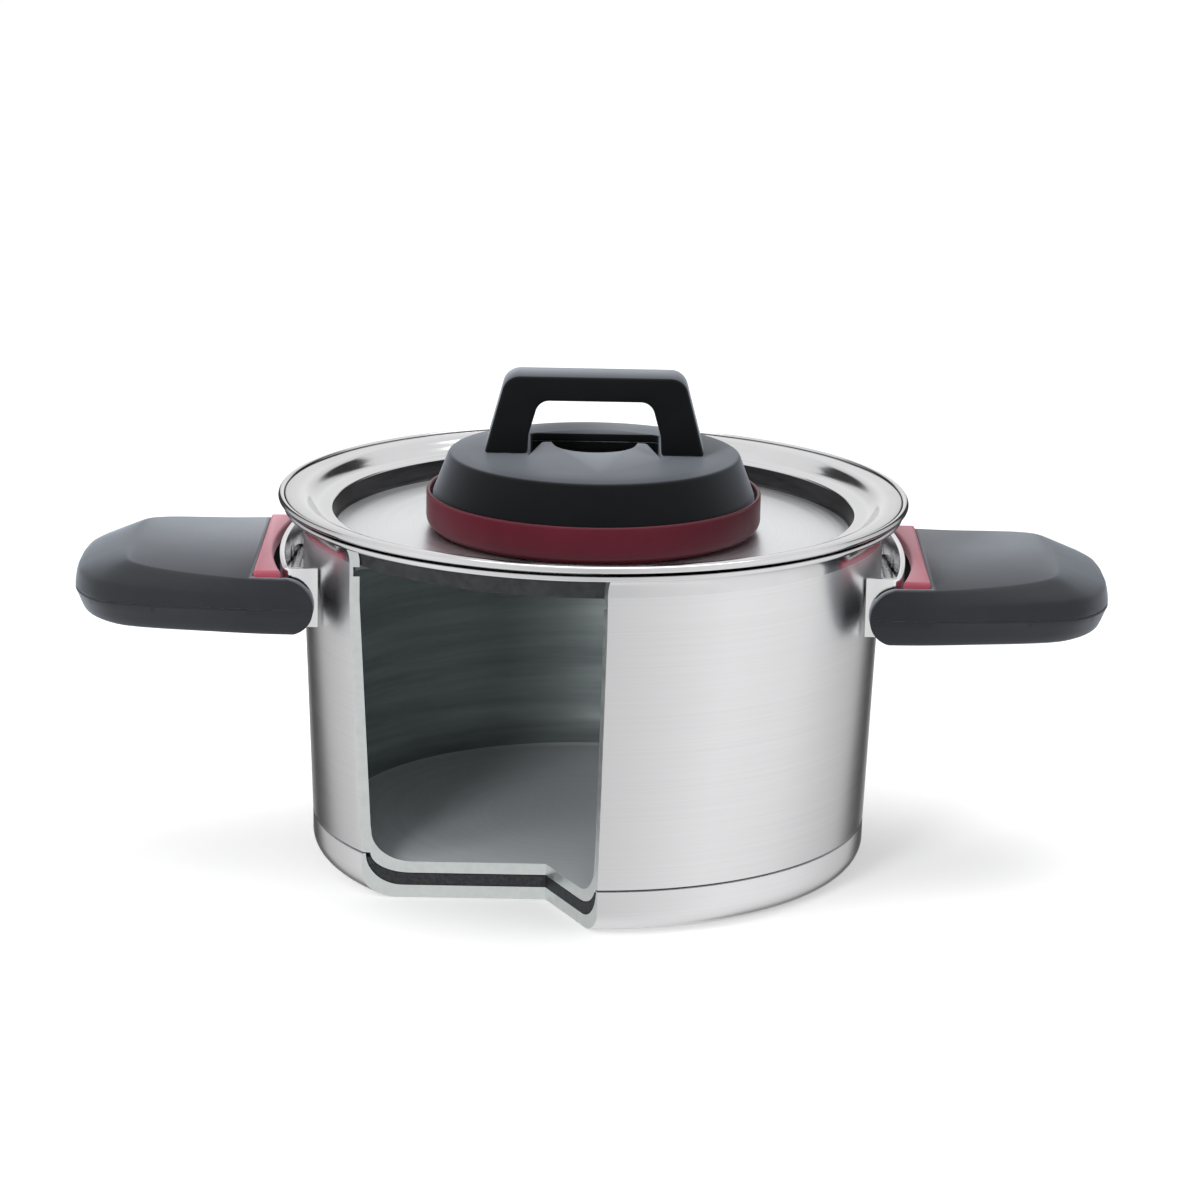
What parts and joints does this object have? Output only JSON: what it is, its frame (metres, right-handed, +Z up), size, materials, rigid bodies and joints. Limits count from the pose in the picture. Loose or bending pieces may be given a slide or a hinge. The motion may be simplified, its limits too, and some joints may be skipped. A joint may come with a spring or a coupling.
{
  "type": "stovetop pressure cooker",
  "caption": "Stovetop pressure cooker with cutaway window, layered base, twist-lock lid with arch handle, spring-loaded valves and fold-down side handles.",
  "frame": {"origin": "centre of the pot's flat underside, at the surface it stands on", "axes": "+Z up, +X through the right side handle, -Y towards the cutaway window's side"},
  "size_m": [0.399, 0.2434, 0.1908],
  "materials": {
    "satin_steel": "satin brushed stainless steel",
    "polished_steel": "polished stainless steel",
    "base_aluminium": "dark heat-conducting core, sawn",
    "dark_steel": "blackened steel",
    "black_plastic": "fine matt grain, moulded",
    "charcoal_plastic": "fine matt grain, moulded",
    "burgundy_plastic": "smooth satin, moulded",
    "silicone": "dull silicone"
  },
  "bodies": {
    "pot": {"pot_body": "satin_steel", "base_core": "base_aluminium", "base_capsule": "satin_steel", "bracket_left": "polished_steel", "bracket_right": "polished_steel", "hinge_pin_left": "satin_steel", "hinge_pin_right": "satin_steel"},
    "lid": {"lid_shell": "polished_steel", "lid_gasket": "silicone", "base_ring": "burgundy_plastic", "block_seal": "silicone", "bolt_guide_a": "dark_steel", "bolt_guide_b": "dark_steel", "bolt_guide_c": "dark_steel"},
    "knob": {"knob_housing": "black_plastic", "knob_well": "black_plastic", "knob_base_plate": "black_plastic", "arch_handle": "black_plastic", "arch_screw_left": "satin_steel", "arch_screw_right": "satin_steel", "housing_screw_a": "satin_steel", "housing_screw_b": "satin_steel", "housing_screw_c": "satin_steel", "valve_block": "satin_steel", "block_screw_a": "satin_steel", "block_screw_b": "satin_steel", "block_screw_c": "satin_steel", "cam_plate": "dark_steel", "retaining_ring": "satin_steel", "valve_cap": "satin_steel", "safety_cap": "satin_steel", "valve_spring": "satin_steel", "safety_spring": "satin_steel"},
    "steam_valve": {"valve_stem": "satin_steel", "valve_button": "burgundy_plastic"},
    "safety_valve": {"safety_poppet": "satin_steel"},
    "bolt_a": {"locking_bolt_a": "dark_steel"},
    "bolt_b": {"locking_bolt_b": "dark_steel"},
    "bolt_c": {"locking_bolt_c": "dark_steel"},
    "handle_left": {"handle_upper_left": "charcoal_plastic", "handle_lower_left": "charcoal_plastic", "shell_screw_left_a": "satin_steel", "shell_screw_left_b": "satin_steel", "shell_screw_left_c": "satin_steel", "release_spring_left": "satin_steel"},
    "handle_right": {"handle_upper_right": "charcoal_plastic", "handle_lower_right": "charcoal_plastic", "shell_screw_right_a": "satin_steel", "shell_screw_right_b": "satin_steel", "shell_screw_right_c": "satin_steel", "release_spring_right": "satin_steel"},
    "release_left": {"release_button_left": "burgundy_plastic", "catch_plate_left": "satin_steel"},
    "release_right": {"release_button_right": "burgundy_plastic", "catch_plate_right": "satin_steel"}
  },
  "joints": [
    {"name": "lid_lift", "type": "slide", "parent": "pot", "child": "lid", "axis": [0, 0, 1], "range_m": [0, 0.09]},
    {"name": "lock_turn", "type": "hinge", "parent": "lid", "child": "knob", "pos_m": [0, 0, 0.13], "axis": [0, 0, 1], "range_deg": [0, 60]},
    {"name": "bolt_slide_a", "type": "slide", "parent": "lid", "child": "bolt_a", "axis": [0, 1, 0], "range_m": [0, 0.0024]},
    {"name": "bolt_slide_b", "type": "slide", "parent": "lid", "child": "bolt_b", "axis": [-0.866, -0.5, 0], "range_m": [0, 0.0024]},
    {"name": "bolt_slide_c", "type": "slide", "parent": "lid", "child": "bolt_c", "axis": [0.866, -0.5, 0], "range_m": [0, 0.0024]},
    {"name": "steam_valve_lift", "type": "slide", "parent": "knob", "child": "steam_valve", "axis": [0, 0, 1], "range_m": [0, 0.003], "stiffness_N_per_m": 400, "springref_m": -0.004, "deforming": ["valve_spring"]},
    {"name": "safety_valve_lift", "type": "slide", "parent": "knob", "child": "safety_valve", "axis": [0, 0, 1], "range_m": [0, 0.002], "stiffness_N_per_m": 900, "springref_m": -0.004, "deforming": ["safety_spring"]},
    {"name": "handle_fold_left", "type": "hinge", "parent": "pot", "child": "handle_left", "pos_m": [-0.116, 0, 0.1085], "axis": [0, -1, 0], "range_deg": [0, 80]},
    {"name": "handle_fold_right", "type": "hinge", "parent": "pot", "child": "handle_right", "pos_m": [0.116, 0, 0.1085], "axis": [0, 1, 0], "range_deg": [0, 80]},
    {"name": "release_press_left", "type": "slide", "parent": "handle_left", "child": "release_left", "axis": [0, 0, -1], "range_m": [0, 0.002], "stiffness_N_per_m": 600, "springref_m": -0.002, "deforming": ["release_spring_left"]},
    {"name": "release_press_right", "type": "slide", "parent": "handle_right", "child": "release_right", "axis": [0, 0, -1], "range_m": [0, 0.002], "stiffness_N_per_m": 600, "springref_m": -0.002, "deforming": ["release_spring_right"]}
  ],
  "couplings": [
    {"joint": "bolt_slide_a", "follows": "lock_turn", "m_per_rad": 0.00229},
    {"joint": "bolt_slide_b", "follows": "lock_turn", "m_per_rad": 0.00229},
    {"joint": "bolt_slide_c", "follows": "lock_turn", "m_per_rad": 0.00229}
  ]
}
